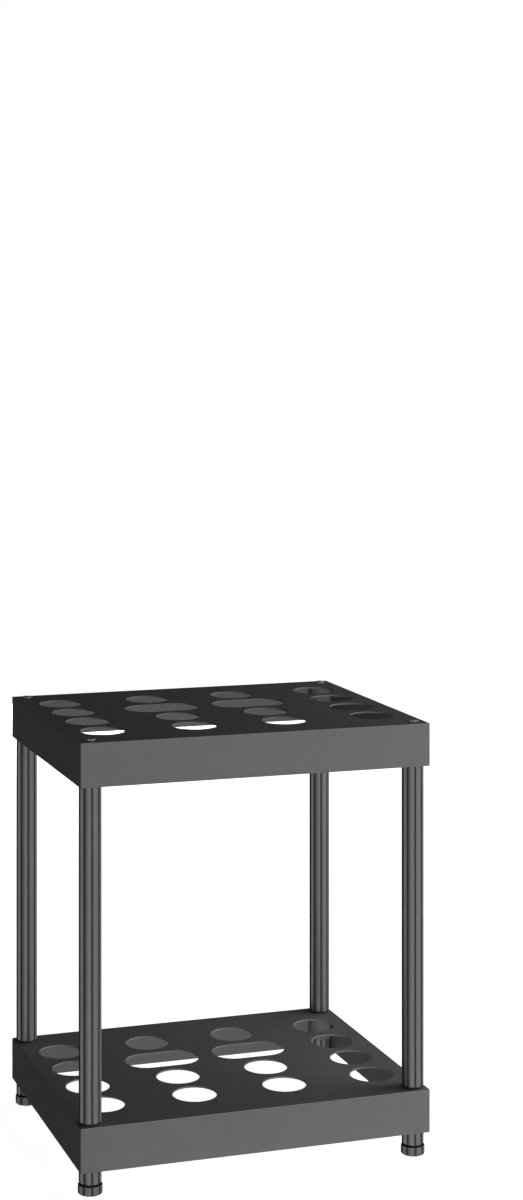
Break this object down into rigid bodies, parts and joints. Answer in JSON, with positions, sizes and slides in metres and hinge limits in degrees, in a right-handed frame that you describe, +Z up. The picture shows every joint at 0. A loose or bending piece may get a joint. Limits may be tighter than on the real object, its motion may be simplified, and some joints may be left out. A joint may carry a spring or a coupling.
{
  "type": "freestanding garden tool rack",
  "caption": "Freestanding garden tool rack: an upper and a lower perforated plastic tray on fluted corner posts with capped feet, for standing long-handled tools upright.",
  "frame": {"origin": "on the floor, midway between the four foot caps", "axes": "+Z up, +X to the right across the front, front towards -Y"},
  "size_m": [0.55, 0.43, 0.6608],
  "materials": {
    "tray_plastic": "charcoal moulded polypropylene, satin, fine moulded grain",
    "post_plastic": "charcoal moulded tube, satin, smooth along the flutes",
    "cap_plastic": "charcoal moulded plastic, slightly duller than the posts",
    "pin_plastic": "charcoal moulded plastic",
    "fitting_plastic": "black moulded plastic, dull"
  },
  "bodies": {
    "root": {"upper_shelf": "tray_plastic", "lower_shelf": "tray_plastic", "post_front_left": "post_plastic", "post_plug_front_left": "fitting_plastic", "shelf_pin_front_left": "pin_plastic", "post_joiner_front_left": "fitting_plastic", "foot_front_left": "post_plastic", "foot_cap_front_left": "cap_plastic", "post_front_right": "post_plastic", "post_plug_front_right": "fitting_plastic", "shelf_pin_front_right": "pin_plastic", "post_joiner_front_right": "fitting_plastic", "foot_front_right": "post_plastic", "foot_cap_front_right": "cap_plastic", "post_back_left": "post_plastic", "post_plug_back_left": "fitting_plastic", "shelf_pin_back_left": "pin_plastic", "post_joiner_back_left": "fitting_plastic", "foot_back_left": "post_plastic", "foot_cap_back_left": "cap_plastic", "post_back_right": "post_plastic", "post_plug_back_right": "fitting_plastic", "shelf_pin_back_right": "pin_plastic", "post_joiner_back_right": "fitting_plastic", "foot_back_right": "post_plastic", "foot_cap_back_right": "cap_plastic"}
  },
  "joints": []
}
